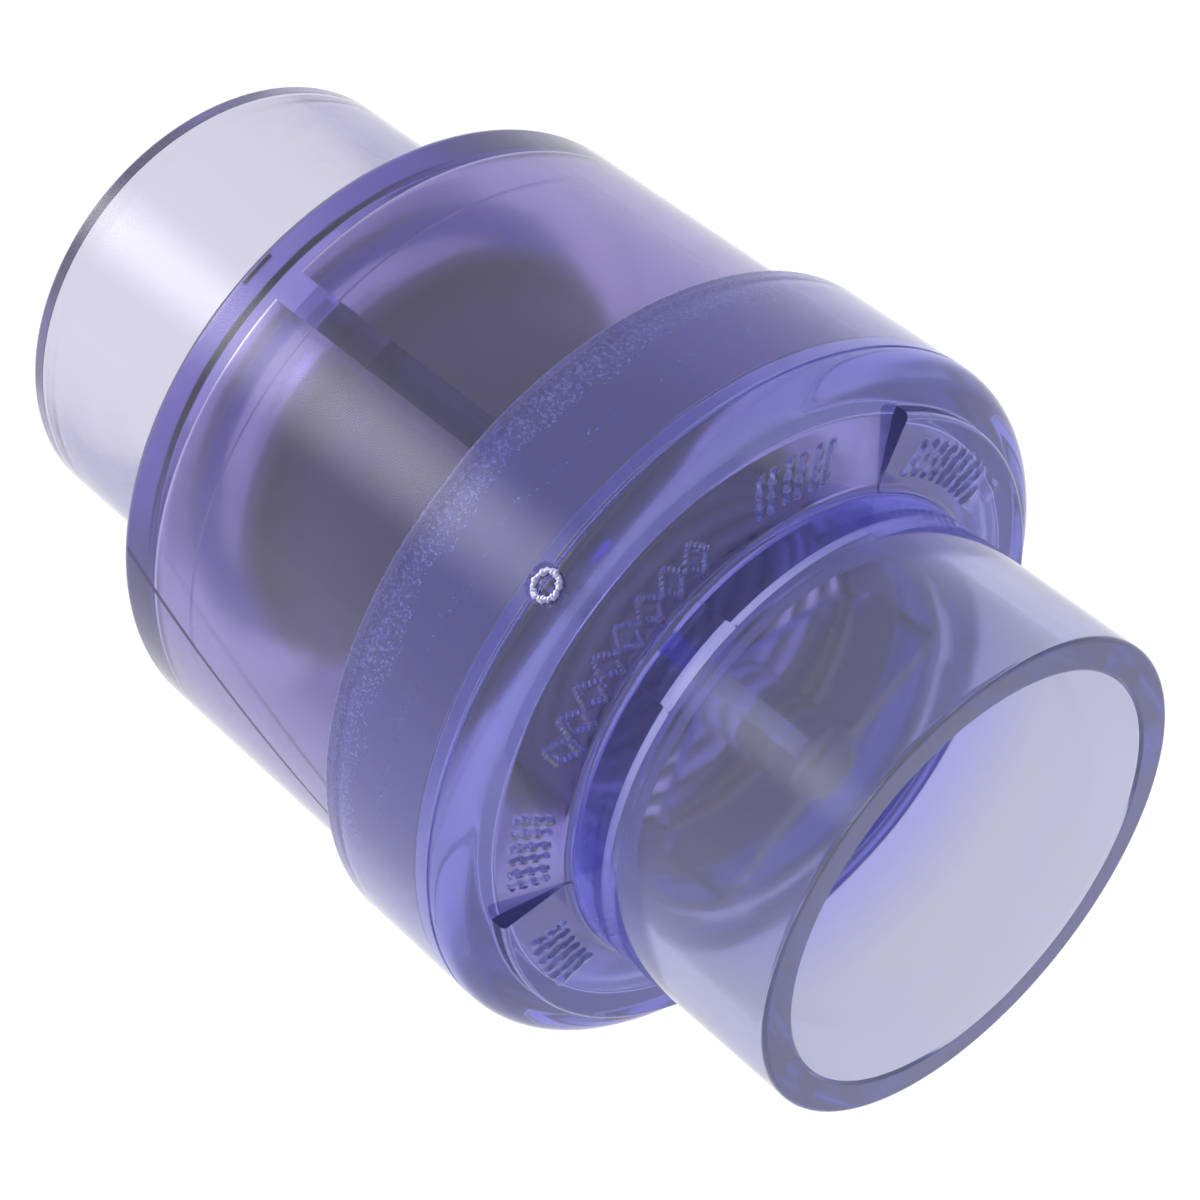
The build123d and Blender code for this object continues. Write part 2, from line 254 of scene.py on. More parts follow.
def mesh_piece(name: str, points: Array, tris: Array, sharp_deg: float) -> bpy.types.Object:
    """A smooth-shaded object from points in mm and triangles, with edges sharper than an angle kept sharp."""
    mesh = bpy.data.meshes.new(name)
    mesh.vertices.add(len(points))
    mesh.vertices.foreach_set("co", (points * MM).astype(np.float32).ravel())
    mesh.loops.add(tris.size)
    mesh.loops.foreach_set("vertex_index", tris.astype(np.int32).ravel())
    mesh.polygons.add(len(tris))
    mesh.polygons.foreach_set("loop_start", np.arange(0, tris.size, 3, dtype=np.int32))
    mesh.update(calc_edges=True)
    mesh.validate()
    mesh.shade_smooth()
    mesh.set_sharp_from_angle(angle=math.radians(sharp_deg))
    piece = bpy.data.objects.new(name, mesh)
    bpy.context.scene.collection.objects.link(piece)
    return piece


def turned(name: str, corners: Sequence[Corner], columns: int = 240, step: float = 2.5,
           closed: bool = True) -> bpy.types.Object:
    """A turned piece from its profile; an open profile starts and ends on the flow axis."""
    outline = trace(corners, step, closed)
    angle = steps(0.0, 2 * math.pi, columns)
    return grid_mesh(name, turn_points(outline[:, :1], outline[:, 1:], angle[None, :]), closed, True)


def settle(piece: bpy.types.Object, body: str, node: str,
           finish: bpy.types.Material) -> bpy.types.Object:
    """Gives a new piece its finish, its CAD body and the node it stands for."""
    piece.data.materials.append(finish)
    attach(piece, body)
    if node:
        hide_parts(node)
    log.info("%s: %d triangles, rides on %s", piece.name, len(piece.data.polygons), body)
    return piece


def dress(node: str, finish: bpy.types.Material) -> None:
    """Gives a CAD node that is shown as it is its finish."""
    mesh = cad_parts[node].data
    mesh.materials.clear()
    mesh.materials.append(finish)
    log.info("%s: CAD node in %s", node, finish.name)


# ---------------------------------------------------------------- materials


def linear(code: str) -> tuple[float, float, float, float]:
    """An sRGB hex colour as linear red, green, blue and an alpha of 1."""
    values = [int(code.lstrip("#")[k:k + 2], 16) / 255 for k in (0, 2, 4)]
    red, green, blue = (v / 12.92 if v <= 0.04045 else ((v + 0.055) / 1.055) ** 2.4 for v in values)
    return red, green, blue, 1.0


def add(tree: bpy.types.NodeTree, kind: str, sockets: Optional[dict[Any, Any]] = None,
        **settings: Any) -> bpy.types.Node:
    """Adds one node.

    Args:
        tree: the node tree to add to.
        kind: the node's type name.
        sockets: input name or number to a value, or to the output socket that feeds it.
        settings: the node's own properties.

    Returns:
        The new node.
    """
    made = tree.nodes.new(kind)
    for key, value in settings.items():
        setattr(made, key, value)
    for key, value in (sockets or {}).items():
        if isinstance(value, bpy.types.NodeSocket):
            tree.links.new(value, made.inputs[key])
        else:
            made.inputs[key].default_value = value
    return made


def noise(tree: bpy.types.NodeTree, place: Socket, size_mm: float, detail: float = 2.0,
          roughness: float = 0.5) -> Socket:
    """Noise with features about size_mm across."""
    return add(tree, "ShaderNodeTexNoise", {"Vector": place, "Scale": 1 / (size_mm * MM), "Detail": detail,
                                            "Roughness": roughness}).outputs["Fac"]


def mapped(tree: bpy.types.NodeTree, value: Socket, low: Any, high: Any, start: float = 0.0,
           end: float = 1.0) -> Socket:
    """A value that runs from low to high while the given one runs from start to end."""
    return add(tree, "ShaderNodeMapRange", {"Value": value, "From Min": start, "From Max": end,
                                            "To Min": low, "To Max": high}).outputs["Result"]


def math_node(tree: bpy.types.NodeTree, operation: str, *terms: Any) -> Socket:
    """The result of one arithmetic step on values or sockets."""
    return add(tree, "ShaderNodeMath", dict(enumerate(terms)), operation=operation).outputs["Value"]


def blend(tree: bpy.types.NodeTree, share: Socket, first: str, second: str) -> Socket:
    """A colour between two hex colours."""
    return add(tree, "ShaderNodeMix", {0: share, 6: linear(first), 7: linear(second)},
               data_type="RGBA").outputs[2]


def bumps(tree: bpy.types.NodeTree, height: Socket, strength: float, depth_mm: float) -> Socket:
    """A surface direction disturbed by a height."""
    return add(tree, "ShaderNodeBump", {"Height": height, "Strength": strength,
                                        "Distance": depth_mm * MM}).outputs["Normal"]


def blank(name: str) -> tuple[bpy.types.Material, bpy.types.NodeTree, Socket]:
    """A new node material with nothing in it but the object's own coordinates."""
    material = bpy.data.materials.new(name)
    material.use_nodes = True
    tree = material.node_tree
    tree.nodes.clear()
    return material, tree, add(tree, "ShaderNodeTexCoord").outputs["Object"]


def finish_with(tree: bpy.types.NodeTree, sockets: dict[str, Any], volume: Optional[Socket] = None) -> None:
    """Ends a material in one shader, with an optional inside."""
    ends = {"Surface": add(tree, "ShaderNodeBsdfPrincipled", sockets).outputs["BSDF"]}
    if volume is not None:
        ends["Volume"] = volume
    add(tree, "ShaderNodeOutputMaterial", ends)


@dataclass(frozen=True)
class ClearPvc:
    """Clear rigid PVC, injection moulded, with a violet tint that deepens with thickness.

    It is glossy but never optically flat: the mould and the shrinking plastic leave faint waves a few
    millimetres long, handling leaves dust and rubs that only show in the gloss, and the faces that the
    mould's core formed are less polished. The pipe sockets are paler than the rest. Both base colours
    also hold painted shade: they are darker than the tint alone, standing in for the table's shadow
    seen through the walls, and the colour away from the sockets is the darker one.
    """

    name: str
    tint: str = "#724AE1"
    density: float = 56.0
    roughness: float = 0.05
    core_roughness: float = 0.17
    rub: float = 0.08
    ripple_mm: float = 9.0
    ripple: float = 0.12
    rubbed_mm: float = 1.6
    # The next two base colours hold the plastic's haze and painted shade: both are darker than the haze alone,
    # for the table's shadow seen through the walls.
    haze_and_shade: str = "#D8D0EC"
    pale: str = "#EDEDEC"
    pale_mm: float = -40.0
    deep_mm: float = -35.0
    clearness: float = 0.95

    def build(self) -> bpy.types.Material:
        """Makes the material."""
        material, tree, place = blank(self.name)
        wave = noise(tree, place, self.ripple_mm, 1.5, 0.4)
        dust = noise(tree, place, self.rubbed_mm, 5.0, 0.7)
        core = add(tree, "ShaderNodeAttribute", attribute_name="core", attribute_type="GEOMETRY")
        face = mapped(tree, core.outputs["Fac"], self.roughness, self.core_roughness)
        rubbed = math_node(tree, "ADD", face, self.rub)
        x = add(tree, "ShaderNodeSeparateXYZ", {"Vector": place}).outputs["X"]
        deep = mapped(tree, x, 0.0, 1.0, self.pale_mm * MM, self.deep_mm * MM)
        inside = add(tree, "ShaderNodeVolumeAbsorption", {"Color": linear(self.tint), "Density": self.density})
        # Base colour: the plastic's haze plus painted shade for the table's shadow seen through the walls,
        # darker away from the sockets.
        finish_with(tree, {
            "Base Color": blend(tree, deep, self.pale, self.haze_and_shade), "IOR": 1.53,
            "Transmission Weight": self.clearness, "Roughness": mapped(tree, dust, face, rubbed, 0.45, 0.8),
            "Normal": bumps(tree, wave, self.ripple, 0.4)}, inside.outputs["Volume"])
        return material


@dataclass(frozen=True)
class WeldCrease:
    """The crease of a weld line in clear PVC: the fold holds the light back, so it reads dark violet."""

    name: str = "pvc_weld_crease"
    colour: str = "#1C1446"
    lighter: str = "#2E2464"

    def build(self) -> bpy.types.Material:
        """Makes the material."""
        material, tree, place = blank(self.name)
        finish_with(tree, {"Base Color": blend(tree, noise(tree, place, 5), self.colour, self.lighter),
                           "IOR": 1.53, "Roughness": 0.3})
        return material


@dataclass(frozen=True)
class CuredCement:
    """Cured solvent cement: a softened, slightly bubbly skin of dissolved PVC that looks frosted."""

    name: str = "cured_cement"
    colour: str = "#D5D3F0"
    bubble_mm: float = 0.7
    clearness: float = 0.55

    def build(self) -> bpy.types.Material:
        """Makes the material."""
        material, tree, place = blank(self.name)
        bubbles = noise(tree, place, self.bubble_mm, 3.0)
        finish_with(tree, {
            "Base Color": linear(self.colour), "IOR": 1.5, "Transmission Weight": self.clearness,
            "Roughness": mapped(tree, bubbles, 0.12, 0.4, 0.3, 0.7), "Normal": bumps(tree, bubbles, 0.6, 0.2)})
        return material


@dataclass(frozen=True)
class CementFilm:
    """Dried cement between spigot and collar: a thin veil with milky specks.

    The specks crowd where the barrel enters and again in a streak further in. Each stop is a place in the
    joint, as a share of its reach, and how much it adds to the noise; specks show where the sum is high.
    """

    name: str
    rear_mm: float
    colour: str = "#E6E4F8"
    veil: str = "#6C67CC"
    speck_mm: float = 0.5
    reach_mm: float = 17.0
    wander_mm: float = 6.0
    veil_alpha: float = 0.45
    speck_alpha: float = 0.85
    stops: tuple[tuple[float, float], ...] = (
        (0.0, 0.60), (0.30, 0.54), (0.40, 0.32), (0.53, 0.32), (0.60, 0.50), (0.67, 0.34), (0.85, 0.28),
        (1.0, 0.26))

    def build(self) -> bpy.types.Material:
        """Makes the material."""
        material, tree, place = blank(self.name)
        x = add(tree, "ShaderNodeSeparateXYZ", {"Vector": place}).outputs["X"]
        specks = noise(tree, place, self.speck_mm, 3.0, 0.65)
        drift = noise(tree, place, 9, 3.0)
        shift = math_node(tree, "SUBTRACT", drift, 0.5)
        moved = math_node(tree, "MULTIPLY_ADD", shift, self.wander_mm * MM, x)
        depth = mapped(tree, moved, 0.0, 1.0, self.rear_mm * MM, (self.rear_mm + self.reach_mm) * MM)
        amount = add(tree, "ShaderNodeValToRGB", {"Fac": depth})
        ramp = amount.color_ramp.elements
        for spot, grey in self.stops:
            stop = ramp[0] if spot == 0.0 else ramp[-1] if spot == 1.0 else ramp.new(spot)
            stop.position, stop.color = spot, (grey, grey, grey, 1.0)
        over = math_node(tree, "ADD", specks, amount.outputs["Color"])
        speck = mapped(tree, over, 0.0, 1.0, 1.06, 1.16)
        finish_with(tree, {
            "Base Color": blend(tree, speck, self.veil, self.colour), "Roughness": 0.6, "IOR": 1.5,
            "Alpha": mapped(tree, speck, self.veil_alpha, self.speck_alpha)})
        return material


@dataclass(frozen=True)
class MouldedGrey:
    """Dark grey plastic, injection moulded in a lightly spark-eroded mould: satin, with a fine even grain."""

    name: str = "grey_moulded_plastic"
    colour: str = "#565077"
    darker: str = "#453F58"
    grain_mm: float = 0.35

    def build(self) -> bpy.types.Material:
        """Makes the material."""
        material, tree, place = blank(self.name)
        grain = noise(tree, place, self.grain_mm)
        finish_with(tree, {
            "Base Color": blend(tree, noise(tree, place, 12, 3.0), self.darker, self.colour), "IOR": 1.49,
            "Roughness": mapped(tree, grain, 0.42, 0.5), "Normal": bumps(tree, grain, 0.1, 0.03)})
        return material


@dataclass(frozen=True)
class SealRubber:
    """EPDM rubber, compression moulded: nearly black and matt, with a dusty bloom."""

    name: str = "epdm_rubber"
    colour: str = "#161618"
    bloom: str = "#29292C"

    def build(self) -> bpy.types.Material:
        """Makes the material."""
        material, tree, place = blank(self.name)
        finish_with(tree, {"Base Color": blend(tree, noise(tree, place, 5, 6.0), self.colour, self.bloom),
                           "Roughness": 0.62, "IOR": 1.5})
        return material


class SteelMake(Enum):
    """How a stainless piece was made, which sets the direction of its fine lines."""

    DRAWN = "drawn"
    FACED = "faced"


@dataclass(frozen=True)
class Stainless:
    """Austenitic stainless steel: drawn wire or turned faces, with fine lines and a warm grey sheen."""

    name: str
    make: SteelMake = SteelMake.DRAWN
    colour: str = "#C9C4BA"
    darker: str = "#A8A299"
    line_mm: float = 0.12

    def build(self) -> bpy.types.Material:
        """Makes the material; the lines are coarser than real ones, which would not show."""
        material, tree, place = blank(self.name)
        stretch = (1.0, 0.08, 0.08) if self.make is SteelMake.DRAWN else (0.1, 1.0, 1.0)
        along = add(tree, "ShaderNodeMapping", {"Vector": place, "Scale": stretch}).outputs["Vector"]
        lines = noise(tree, along, self.line_mm)
        finish_with(tree, {
            "Base Color": blend(tree, lines, self.darker, self.colour), "Metallic": 1.0,
            "Roughness": mapped(tree, lines, 0.22, 0.42), "Normal": bumps(tree, lines, 0.2, 0.02)})
        return material


# ---------------------------------------------------------------- the clear inlet moulding


@dataclass
class InletBody:
    """Inlet moulding: pipe socket, end wall with the valve seat, barrel with three guide ribs, joint spigot."""

    finish: bpy.types.Material
    socket_r: float = 35.0
    bore_r: float = 30.25
    taper: float = 0.12
    flow_r: float = 26.0
    seat_r: float = 29.0
    barrel_r: float = 48.2
    cavity_r: float = 43.5
    core_step: float = 0.4
    stub: float = 41.0
    end_wall: float = 4.6
    seat_height: float = 1.5
    socket_depth: float = 36.0
    socket_straight: float = 21.0
    mouth: float = 0.4
    core_run: float = 8.6
    core_corner: float = 1.1
    rib_turn: float = 117.4
    rib_half: float = 2.3
    rib_low: float = 34.0
    rib_guide: float = 30.1
    rib_step_x: float = -15.7
    rib_end_x: float = 9.4
    column_deg: float = 1.25
    weld_gap: float = 1.5
    weld_end_x: float = 11.5
    weld_half: float = 0.42
    weld_deg: float = 170.8
    weld_sweep: float = 24.6

    def columns(self) -> tuple[Array, Array, Array]:
        """Where the grid's columns stand.

        Formula: between ribs the columns are evenly spaced angles. Each rib has seven columns across its
        top at even shares of its half thickness, and one more at each side that stays on the bore.

        Returns:
            The columns' angles in radians on a plain ring, each one's rib centre (not a number between
            ribs), and its share of the rib's half thickness, with 2 added on the side columns.
        """
        side = math.asin(self.rib_half / self.cavity_r)
        shares = np.concatenate([[-3.0], np.linspace(-1, 1, 7), [3.0]])
        first = side + math.radians(self.column_deg)
        gap = 2 * math.pi / 3 - 2 * first
        between = np.linspace(first, first + gap, round(math.degrees(gap) / self.column_deg) + 1)
        angle, centre, share = [], [], []
        for k in range(3):
            middle = math.radians(self.rib_turn + 120 * k)
            angle += [middle + np.arcsin(np.clip(shares, -1, 1) * self.rib_half / self.cavity_r),
                      middle + between]
            centre += [np.full(len(shares), middle), np.full(len(between), np.nan)]
            share += [shares, np.zeros(len(between))]
        return np.concatenate(angle), np.concatenate(centre), np.concatenate(share)

    def build(self) -> bpy.types.Object:
        """Makes the moulding.

        Formula: a closed profile turned about the flow axis. On the stretch of the bore that has ribs, the
        rib columns follow the rib's own profile at a fixed height from the axis instead, so rib tops and
        sides come out flat.

        Returns:
            The piece.
        """
        face, spigot = span("inlet_body")
        barrel_end = face + self.stub
        inner = barrel_end + self.end_wall
        seat = inner + self.seat_height
        socket_end = face + self.socket_depth
        step_x = inner + self.core_run
        core_r = self.cavity_r - self.core_step
        outer = trace([
            Corner(face, self.bore_r + self.mouth), Corner(face, self.socket_r, 0.6),
            Corner(barrel_end, self.socket_r, 1.0), Corner(barrel_end, self.barrel_r, 1.6),
            Corner(spigot, self.barrel_r, 0.3), Corner(spigot, self.cavity_r, 0.15),
            Corner(self.rib_end_x, self.cavity_r)])[:-1]
        guided = trace([Corner(self.rib_end_x, self.cavity_r), Corner(self.rib_step_x, self.cavity_r)],
                       lines=[26], arcs=[])
        beside_head = trace([
            Corner(self.rib_step_x, self.cavity_r), Corner(step_x, self.cavity_r),
            Corner(step_x, core_r), Corner(inner, core_r, self.core_corner),
            Corner(inner, self.rib_low)], lines=[5, 1, 5, 8], arcs=[0, 0, 5])
        bore = np.concatenate([guided, np.repeat(guided[-1:], 4, 0), beside_head[1:]])
        rib = trace([
            Corner(self.rib_end_x, self.cavity_r), Corner(self.rib_end_x, self.rib_guide),
            Corner(self.rib_step_x, self.rib_guide), Corner(self.rib_step_x, self.rib_low),
            Corner(inner, self.rib_low)], lines=[10, 16, 4, 24], arcs=[0, 0, 0])
        throat = trace([
            Corner(inner, self.rib_low), Corner(inner, self.seat_r), Corner(seat, self.seat_r, 0.2),
            Corner(seat, self.flow_r, 0.3), Corner(socket_end, self.flow_r, 0.2),
            Corner(socket_end, self.bore_r - self.taper), Corner(face + self.socket_straight, self.bore_r),
            Corner(face + self.mouth, self.bore_r), Corner(face, self.bore_r + self.mouth)])[1:-1]
        angle, centre, share = self.columns()
        ribbed = ~np.isnan(centre)
        top = ribbed & (np.abs(share) <= 1)
        edge = ribbed & (np.abs(share) > 1)
        across = np.clip(share, -1, 1) * self.rib_half
        rows, cols = len(outer) + len(bore) + len(throat), len(angle)
        base = np.concatenate([outer, bore, throat])
        x = np.repeat(base[:, :1], cols, 1)
        r = np.repeat(base[:, 1:], cols, 1)
        turn = np.repeat(angle[None, :], rows, 0)
        lo, hi = len(outer), len(outer) + len(bore)
        x[lo:hi, top] = rib[:, :1]
        height = np.repeat(rib[:, 1:], int(top.sum()), 1)
        height[0] = np.sqrt(self.cavity_r ** 2 - across[top] ** 2)
        r[lo:hi, top] = np.hypot(height, across[top])
        turn[lo:hi, top] = centre[top] + np.arctan2(np.broadcast_to(across[top], height.shape), height)
        turn[lo:hi, edge] = centre[edge] + np.arcsin(across[edge] / r[lo:hi, edge])
        core = np.concatenate([np.zeros(len(outer)), np.ones(len(bore) + len(throat))])
        core[:2] = 1.0
        piece = grid_mesh("inlet_body_clear", turn_points(x, r, turn), True, True, core=core)
        return settle(piece, VALVE, "inlet_body", self.finish)

    def weld_line(self, finish: bpy.types.Material) -> bpy.types.Object:
        """Makes the weld line, a hair-thin dark crease on the barrel where two streams of plastic met.

        Formula: a flat four-sided section carried along a helix of slow pitch just proud of the barrel.

        Args:
            finish: the crease's material.

        Returns:
            The piece.
        """
        t = steps(0.0, 1.0, 72)[:, None]
        start = span("inlet_body")[0] + self.stub + self.weld_gap
        x = start + (self.weld_end_x - start) * t
        middle = np.radians(self.weld_deg + self.weld_sweep * t)
        side = np.array([[-1.0, 1.0, 1.0, -1.0]]) * self.weld_half / self.barrel_r
        r = self.barrel_r + np.array([[-0.02, -0.02, 0.012, 0.012]])
        points = turn_points(x + 0 * side, r + 0 * t, middle + side)
        piece = grid_mesh("weld_line", points, False, True, caps=True)
        return settle(piece, VALVE, "", finish)


# ---------------------------------------------------------------- the clear outlet moulding


class Mark(Enum):
    """Raised generic signs on the cap, none of them a letter or a number."""

    DIAMOND = "diamond"
    SLANTS = "slants"


def segment_distance(u: Array, v: Array, ends: tuple[float, float, float, float]) -> Array:
    """Distance of each (u, v) from a straight stroke between two points."""
    u1, v1, u2, v2 = ends
    du, dv = u2 - u1, v2 - v1
    t = np.clip(((u - u1) * du + (v - v1) * dv) / (du * du + dv * dv), 0.0, 1.0)
    return np.hypot(u - u1 - t * du, v - v1 - t * dv)


STROKES: dict[Mark, tuple[tuple[float, float, float, float], ...]] = {
    Mark.DIAMOND: ((-1.7, 0.0, 0.0, 2.6), (0.0, 2.6, 1.7, 0.0), (1.7, 0.0, 0.0, -2.6), (0.0, -2.6, -1.7, 0.0)),
    Mark.SLANTS: ((-1.6, -2.4, -0.4, 2.4), (0.4, -2.4, 1.6, 2.4)),
}


@dataclass(frozen=True)
class MarkRow:
    """A row of signs on the sloping end, set round the neck from a start angle towards smaller angles."""

    start_deg: float
    pitch_deg: float
    radius: float
    signs: tuple[Mark, ...]
    edge: float = 0.25

    def height(self, angle: Array, r: Array, stroke: float, rise: float) -> Array:
        """How far the surface stands up.

        Formula: each sign is a set of strokes in its own flat frame, u along the row and v outwards; the
        rise falls off smoothly over a narrow edge at the side of the nearest stroke.

        Args:
            angle: each place's angle in radians.
            r: each place's radius in mm.
            stroke: the stroke's width in mm.
            rise: full height in mm.

        Returns:
            The height at each place, in mm.
        """
        nearest = np.full(np.broadcast(angle, r).shape, 1e3)
        for k, sign in enumerate(self.signs):
            middle = math.radians(self.start_deg - self.pitch_deg * (k + 0.5))
            off = (angle - middle + math.pi) % (2 * math.pi) - math.pi
            u, v = -off * self.radius, r - self.radius
            for ends in STROKES[sign]:
                nearest = np.minimum(nearest, segment_distance(u, v, ends))
        t = np.clip((stroke / 2 - nearest) / self.edge + 0.5, 0.0, 1.0)
        return rise * t * t * (3 - 2 * t)


@dataclass
class OutletCap:
    """Outlet moulding: pipe socket, sloping end with its flat pad and raised signs, and the collar."""

    finish: bpy.types.Material
    socket_r: float = 35.0
    bore_r: float = 30.25
    collar_r: float = 51.6
    joint_r: float = 48.25
    cavity_r: float = 43.5
    pocket_r: float = 30.5
    ledge_r: float = 27.5
    pad_r: float = 46.0
    neck: float = 35.0
    rise: float = 3.6
    wall: float = 4.5
    cap_turn: float = 125.0
    pad_sweep: float = 238.0
    gate_turn: float = 129.0
    gate_r: float = 2.3
    gate_stub_r: float = 1.1
    gate_depth: float = 0.33
    gate_edge: float = 0.35
    slot_half: float = 6.1
    slot_r: float = 32.5
    taper_r: float = 34.0
    edge_r: float = 46.4
    mark_limit_r: float = 45.0
    groove_gap: float = 3.3
    groove_width: float = 0.5
    groove_depth: float = 0.25
    socket_straight: float = 21.0
    taper: float = 0.12
    mouth: float = 0.4
    ledge_front: float = 28.6
    ledge_back: float = 31.0
    joint_floor_x: float = 30.4
    fine_x: float = 31.8
    stroke: float = 0.75
    mark_rise: float = 0.34
    rows: tuple[MarkRow, ...] = (
        MarkRow(155.0, 5.9, 39.6, (Mark.DIAMOND,) * 8),
        MarkRow(97.0, 6.6, 40.6, (Mark.SLANTS,) * 3),
        MarkRow(183.0, 6.0, 40.6, (Mark.SLANTS,) * 3),
        MarkRow(58.0, 6.2, 40.2, (Mark.SLANTS,) * 5),
        MarkRow(213.0, 6.2, 40.2, (Mark.SLANTS,) * 3),
    )

    def slope_x(self, root: float, r: float) -> float:
        """Place along X of the sloping end's outer face at a radius."""
        return root - (r - self.socket_r) * self.rise / (self.collar_r - self.socket_r)

    def parting_x(self) -> float:
        """Place along X of the mould's parting line, the outlet side of the groove in the collar."""
        return span("outlet_cap")[1] - self.neck - self.rise - self.groove_gap

    def columns(self) -> tuple[Array, Array, Array, Array]:
        """Where the grid's columns stand.

        Formula: angles spaced finely where the end carries signs and coarsely elsewhere. The pad's two
        edges have a column close on each side, and each lug slot has two columns at each of its walls.

        Returns:
            The angles in radians, whether each column is on the pad, each one's slot centre (not a number
            away from slots) and its share of the slot's half width, with 2 added just outside a slot.
        """
        low = self.cap_turn - (360 - self.pad_sweep) / 2
        high = self.cap_turn + (360 - self.pad_sweep) / 2
        zones = ((low + 0.12, high - 0.12, 0.6), (high + 0.12, high + 32, 0.8), (high + 32, low + 328, 2.0),
                 (low + 328, low + 359.88, 0.8))
        plain = np.concatenate([np.linspace(a, b, round((b - a) / s) + 1) for a, b, s in zones])
        near_gate = np.arange(self.gate_turn - 3, self.gate_turn + 3.1, 0.25)
        plain = np.unique(np.round(np.concatenate([plain, near_gate]), 4))
        half = math.degrees(math.asin(self.slot_half / 31.5))
        angle, centre, share = [], [], []
        for k in range(3):
            middle = self.cap_turn + 120 * k
            off = (plain - middle + 180) % 360 - 180
            inside = plain[np.abs(off) < half - 0.35]
            plain = plain[np.abs(off) > half + 1.0]
            wall = np.array([-3.0, -1.0, 1.0, 3.0])
            angle += [middle + np.clip(wall, -1, 1) * half, inside]
            centre += [np.full(len(wall), middle), np.full(len(inside), middle)]
            share += [wall, ((inside - middle + 180) % 360 - 180) / half]
        angle.append(plain)
        centre.append(np.full(len(plain), np.nan))
        share.append(np.zeros(len(plain)))
        angle, centre, share = (np.concatenate(part) for part in (angle, centre, share))
        order = np.lexsort((share, np.round((angle - low) % 360, 5)))
        angle, centre, share = angle[order], centre[order], share[order]
        on_pad = ((angle - low) % 360) > high - low
        return np.radians(angle), on_pad, np.radians(centre), share

    def build(self) -> bpy.types.Object:
        """Makes the moulding.

        Formula: a closed profile turned about the flow axis, with two stretches that have two versions of
        equal length: slope or flat pad outside, and plain pocket or lug slot inside. Each column takes one
        version. The signs and the gate mark then move the outer points.

        Returns:
            The piece.
        """
        rear, face = span("outlet_cap")
        root = face - self.neck
        shoulder = root - self.rise
        parting = self.parting_x()
        groove, groove_r = parting - self.groove_width, self.collar_r - self.groove_depth
        edge = Corner(self.slope_x(root, self.edge_r), self.edge_r)
        ledge_front, ledge_back = face - self.ledge_front, face - self.ledge_back
        pocket_x, slot_x, taper_x, cavity_x = (
            self.slope_x(root, radius) - self.wall
            for radius in (self.pocket_r, self.slot_r, self.taper_r, self.cavity_r))
        collar = trace([
            Corner(rear, self.joint_r), Corner(rear, self.collar_r, 0.8), Corner(self.fine_x, self.collar_r)],
            step=3.0)[:-1]
        band = trace([
            Corner(self.fine_x, self.collar_r), Corner(groove, self.collar_r, 0.06),
            Corner(groove, groove_r, 0.06), Corner(parting, groove_r, 0.06),
            Corner(parting, self.collar_r, 0.06), Corner(shoulder, self.collar_r, 4.0), edge], step=0.6)[:-1]
        neck = [Corner(root, self.socket_r, 1.2), Corner(root + 2.0, self.socket_r)]
        pad_lines, pad_arcs = [2, 4, 32, 3], [3, 7, 7]
        slope = trace([edge, *neck], lines=[sum(pad_lines[:3]) + sum(pad_arcs[:2]), 3], arcs=[7])
        pad = trace([
            edge, Corner(self.slope_x(root, self.pad_r), self.pad_r, 0.3), Corner(root, self.pad_r, 0.8),
            *neck], lines=pad_lines, arcs=pad_arcs)
        socket = trace([
            neck[-1], Corner(face, self.socket_r, 0.6), Corner(face, self.bore_r + self.mouth, 0.1),
            Corner(face - self.mouth, self.bore_r, 0.15), Corner(face - self.socket_straight, self.bore_r),
            Corner(ledge_front, self.bore_r - self.taper, 0.25), Corner(ledge_front, self.ledge_r, 0.3),
            Corner(ledge_back, self.ledge_r)], step=2.4)[1:-1]
        plain, slot = (
            trace([Corner(ledge_back, self.ledge_r), Corner(ledge_back, radius), Corner(place, radius),
                   Corner(taper_x, self.taper_r)], lines=[3, 6, 3], arcs=[0, 0])
            for radius, place in ((self.pocket_r, pocket_x), (self.slot_r, slot_x)))
        room = trace([
            Corner(taper_x, self.taper_r), Corner(cavity_x, self.cavity_r, 0.6),
            Corner(self.joint_floor_x, self.cavity_r, 0.1), Corner(self.joint_floor_x, self.joint_r, 0.1),
            Corner(rear, self.joint_r)], step=3.0)[1:-1]
        angle, on_pad, centre, share = self.columns()
        base = np.concatenate([collar, band, slope, socket, plain, room])
        cols = len(angle)
        x, r = np.repeat(base[:, :1], cols, 1), np.repeat(base[:, 1:], cols, 1)
        turn = np.repeat(angle[None, :], len(base), 0)
        top = len(collar) + len(band)
        x[top:top + len(slope), on_pad], r[top:top + len(slope), on_pad] = pad[:, :1], pad[:, 1:]
        low = top + len(slope) + len(socket)
        rows = slice(low, low + len(plain))
        near_slot = ~np.isnan(centre)
        in_slot = near_slot & (np.abs(share) <= 1.0)
        beside = near_slot & ~in_slot
        x[rows, in_slot], r[rows, in_slot] = slot[:, :1], slot[:, 1:]
        turn[rows, in_slot] = centre[in_slot] + share[in_slot] * np.arcsin(self.slot_half / slot[:, 1:])
        turn[rows, beside] = centre[beside] + np.sign(share[beside]) * np.arcsin(self.slot_half / plain[:, 1:])
        end = slice(len(collar), top + len(slope))
        raised = np.zeros_like(x[end])
        for row in self.rows:
            raised = np.maximum(raised, row.height(turn[end], r[end], self.stroke, self.mark_rise))
        raised[(r[end] < self.socket_r + 0.9) | (r[end] > self.mark_limit_r)] = 0.0
        x[end] += raised
        outer = slice(0, top)
        off = (turn[outer] - math.radians(self.gate_turn)) * self.collar_r
        away = np.hypot(x[outer] - parting, off)
